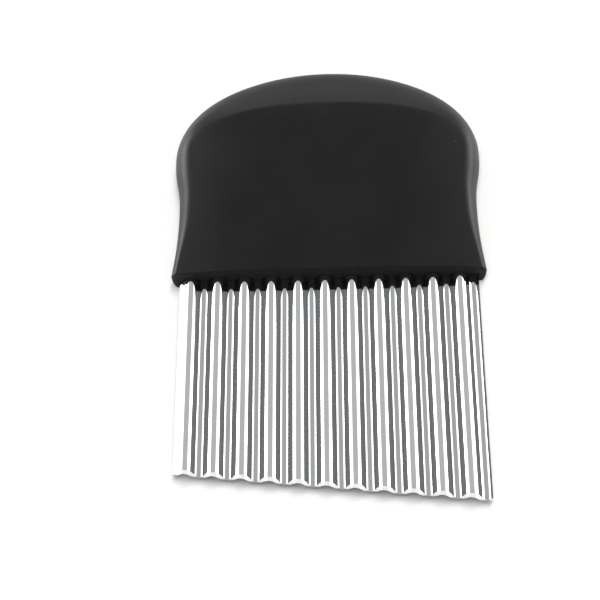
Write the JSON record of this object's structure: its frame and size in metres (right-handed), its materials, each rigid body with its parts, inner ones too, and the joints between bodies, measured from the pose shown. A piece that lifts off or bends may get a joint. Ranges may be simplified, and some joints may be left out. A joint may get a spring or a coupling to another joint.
{
  "type": "crinkle cutter",
  "caption": "Hand cutter with a wide corrugated steel blade, slanted at its cutting edge, held in a hollow black palm handle; cuts vegetables into wavy slices and sticks.",
  "frame": {"origin": "on the resting plane, under the middle of the tool's width and length", "axes": "+X across the blade towards its longer side, +Y from the cutting edge to the palm end of the handle, +Z out of the front face; the tool lies on its flat back"},
  "size_m": [0.093, 0.14, 0.016],
  "materials": {
    "blade_steel": "polished",
    "handle_plastic": "satin",
    "screw_steel": "zinc plated"
  },
  "bodies": {
    "root": {"blade": "blade_steel", "handle_front_shell": "handle_plastic", "handle_rear_shell": "handle_plastic", "tang_screw_left": "screw_steel", "tang_screw_middle": "screw_steel", "tang_screw_right": "screw_steel", "screw_plug_left": "handle_plastic", "screw_plug_middle": "handle_plastic", "screw_plug_right": "handle_plastic"}
  },
  "joints": []
}
